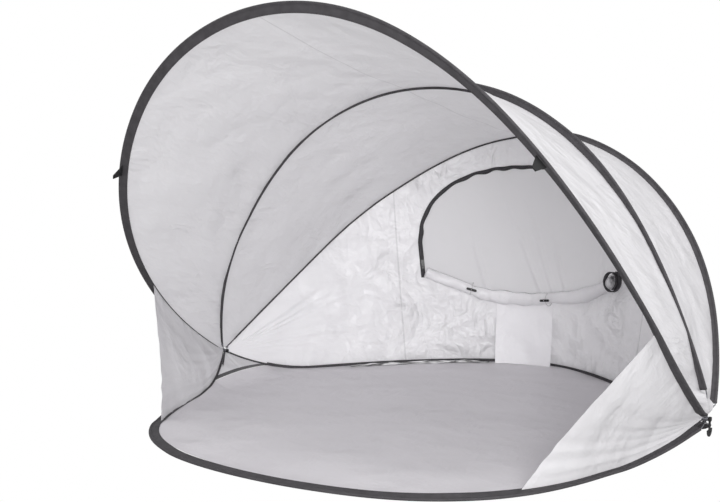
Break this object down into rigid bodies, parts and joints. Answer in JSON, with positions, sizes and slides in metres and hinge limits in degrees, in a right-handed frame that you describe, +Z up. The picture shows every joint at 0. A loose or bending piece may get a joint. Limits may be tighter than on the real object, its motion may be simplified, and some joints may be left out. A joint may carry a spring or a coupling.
{
  "type": "pop-up beach tent",
  "caption": "Open-fronted pop-up shelter: sprung wire hoops in fabric sleeves fan out from two raised corners to stretch a canopy, windowed back wall, groundsheet and front gussets.",
  "frame": {"origin": "On the ground, midway between the two raised corners where the hoops cross.", "axes": "+X runs along the corner line, the open front faces -Y and +Z is up."},
  "size_m": [1.9108, 1.8404, 1.2917],
  "materials": {
    "canopy_fabric": "satin coated polyester",
    "floor_fabric": "matt coated polyethylene weave",
    "sleeve_tape": "matt woven polyester tape",
    "window_net": "fine netting",
    "zip": "woven zip tape with nylon coil",
    "webbing": "black webbing and elastic",
    "black_plastic": "moulded",
    "spring_wire": "drawn spring wire"
  },
  "bodies": {
    "rear_floor": {"floor_back_wire": "spring_wire", "floor_back_ferrule": "spring_wire", "floor_back_sleeve": "sleeve_tape", "groundsheet_rear": "floor_fabric", "corner_panels_rear": "canopy_fabric", "corner_lashing_left": "webbing", "corner_lashing_right": "webbing", "back_wall_left": "canopy_fabric", "back_wall_centre": "canopy_fabric", "back_wall_right": "canopy_fabric", "window_mesh": "window_net", "window_zip": "zip", "window_cover_roll": "canopy_fabric", "toggle_loops": "webbing", "storage_pocket": "canopy_fabric"},
    "rear_arch": {"rear_arch_wire": "spring_wire", "rear_arch_sleeve": "sleeve_tape", "rear_canopy": "canopy_fabric"},
    "mid_arch": {"mid_arch_wire": "spring_wire", "mid_arch_sleeve": "sleeve_tape", "front_canopy": "canopy_fabric"},
    "front_arch": {"front_arch_wire": "spring_wire", "front_arch_sleeve": "sleeve_tape", "guy_tabs": "webbing", "gusset_left": "canopy_fabric", "gusset_right": "canopy_fabric"},
    "front_floor": {"floor_front_wire": "spring_wire", "floor_front_ferrule": "spring_wire", "floor_front_sleeve": "sleeve_tape", "groundsheet_front": "floor_fabric", "corner_panels_front": "canopy_fabric"},
    "peg_tab_left": {"peg_tab_left": "webbing"},
    "peg_tab_right": {"peg_tab_right": "webbing"},
    "toggle_left": {"toggle_left": "black_plastic"},
    "toggle_right": {"toggle_right": "black_plastic"},
    "zip_slider": {"zip_slider": "black_plastic"}
  },
  "joints": [
    {"name": "rear_fold", "type": "hinge", "parent": "rear_floor", "child": "rear_arch", "pos_m": [0, 0, 0.101], "axis": [-1, 0, 0], "range_deg": [0, 46], "stiffness_Nm_per_rad": 20, "springref_deg": -34.38, "deforming": ["back_wall_left", "back_wall_centre", "back_wall_right", "window_mesh", "window_zip", "window_cover_roll", "storage_pocket"]},
    {"name": "mid_fold", "type": "hinge", "parent": "rear_arch", "child": "mid_arch", "pos_m": [0, 0, 0.101], "axis": [-1, 0, 0], "range_deg": [0, 40], "deforming": ["rear_canopy"]},
    {"name": "front_fold", "type": "hinge", "parent": "mid_arch", "child": "front_arch", "pos_m": [0, 0, 0.101], "axis": [-1, 0, 0], "range_deg": [0, 28], "deforming": ["front_canopy"]},
    {"name": "floor_fold", "type": "hinge", "parent": "front_arch", "child": "front_floor", "pos_m": [0, 0, 0.101], "axis": [-1, 0, 0], "range_deg": [0, 41], "deforming": ["gusset_left", "gusset_right"]},
    {"name": "peg_swing_left", "type": "hinge", "parent": "rear_floor", "child": "peg_tab_left", "pos_m": [-0.93815, 0, 0.101], "axis": [1, 0, 0], "range_deg": [-25, 25]},
    {"name": "peg_swing_right", "type": "hinge", "parent": "rear_floor", "child": "peg_tab_right", "pos_m": [0.93815, 0, 0.101], "axis": [1, 0, 0], "range_deg": [-25, 25]},
    {"name": "toggle_turn_left", "type": "hinge", "parent": "rear_floor", "child": "toggle_left", "pos_m": [-0.23944, 0.70906, 0.301], "axis": [0.4608, -0.8875, 0], "range_deg": [0, 90]},
    {"name": "toggle_turn_right", "type": "hinge", "parent": "rear_floor", "child": "toggle_right", "pos_m": [0.04424, 0.77521, 0.27319], "axis": [-0.1304, -0.9915, 0], "range_deg": [0, 90]},
    {"name": "zip_slide", "type": "slide", "parent": "rear_floor", "child": "zip_slider", "axis": [-0.1077, -0.0142, 0.9941], "range_m": [0, 0.05]}
  ],
  "couplings": [
    {"joint": "mid_fold", "follows": "rear_fold", "ratio": 0.86957},
    {"joint": "front_fold", "follows": "rear_fold", "ratio": 0.6087},
    {"joint": "floor_fold", "follows": "rear_fold", "ratio": 0.8913}
  ]
}
